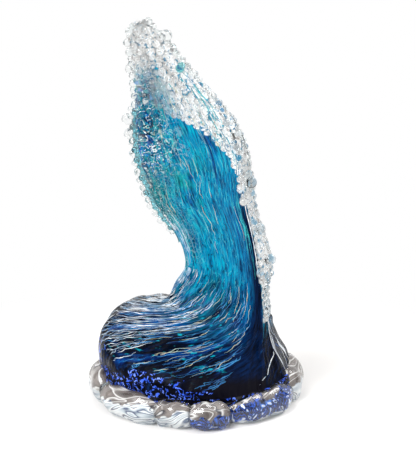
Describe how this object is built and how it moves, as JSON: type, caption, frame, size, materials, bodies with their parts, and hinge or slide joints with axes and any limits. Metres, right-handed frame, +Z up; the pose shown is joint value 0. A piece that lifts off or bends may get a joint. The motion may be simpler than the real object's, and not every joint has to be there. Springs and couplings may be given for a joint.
{
  "type": "glass wave sculpture",
  "caption": "Free-standing studio-glass ornament: a turquoise wave rises from a round dark foot, leans to one side and ends in a foam of clear glass beads.",
  "frame": {"origin": "centre of the foot's ground underside, on the table", "axes": "+Z up the wave; the viewer of the picture stands at -Y and the wave leans towards -X"},
  "size_m": [0.1742, 0.1769, 0.3092],
  "materials": {
    "clear_glass": "fire-polished clear glass",
    "run_glass": "fire-polished clear glass over dark glass",
    "foam_glass": "fire-polished clear glass beads",
    "pool_glass": "near-black glass with blue frit",
    "trough_glass": "dark blue glass with silver-white threads",
    "wave_glass": "turquoise glass with blue streaks",
    "lip_glass": "pale turquoise glass with fine bubbles",
    "turquoise_bit_glass": "turquoise glass"
  },
  "bodies": {
    "root": {"back_casing": "clear_glass", "back_left_lobe": "clear_glass", "back_lobe": "clear_glass", "back_right_lobe": "clear_glass", "back_run_1": "run_glass", "back_run_2": "run_glass", "back_run_3": "run_glass", "crest_beads": "foam_glass", "crest_tip": "clear_glass", "edge_beads": "foam_glass", "face_spill": "foam_glass", "foot_pad": "clear_glass", "front_knob": "clear_glass", "front_left_lobe": "clear_glass", "large_bead_1": "foam_glass", "large_bead_2": "foam_glass", "large_bead_3": "foam_glass", "large_bead_4": "foam_glass", "large_bead_5": "foam_glass", "large_bead_6": "foam_glass", "large_bead_7": "foam_glass", "left_lobe": "clear_glass", "lip_beads": "foam_glass", "lip_roll": "lip_glass", "lower_foam": "foam_glass", "middle_foam": "foam_glass", "pool": "pool_glass", "right_front_lobe": "clear_glass", "right_lobe": "clear_glass", "right_run_1": "run_glass", "right_run_2": "run_glass", "right_run_3": "run_glass", "rim_knuckle": "clear_glass", "trailing_foam": "foam_glass", "trough": "trough_glass", "turquoise_bit": "turquoise_bit_glass", "twisted_lobe": "clear_glass", "upper_foam": "foam_glass", "wave_core": "wave_glass"}
  },
  "joints": []
}
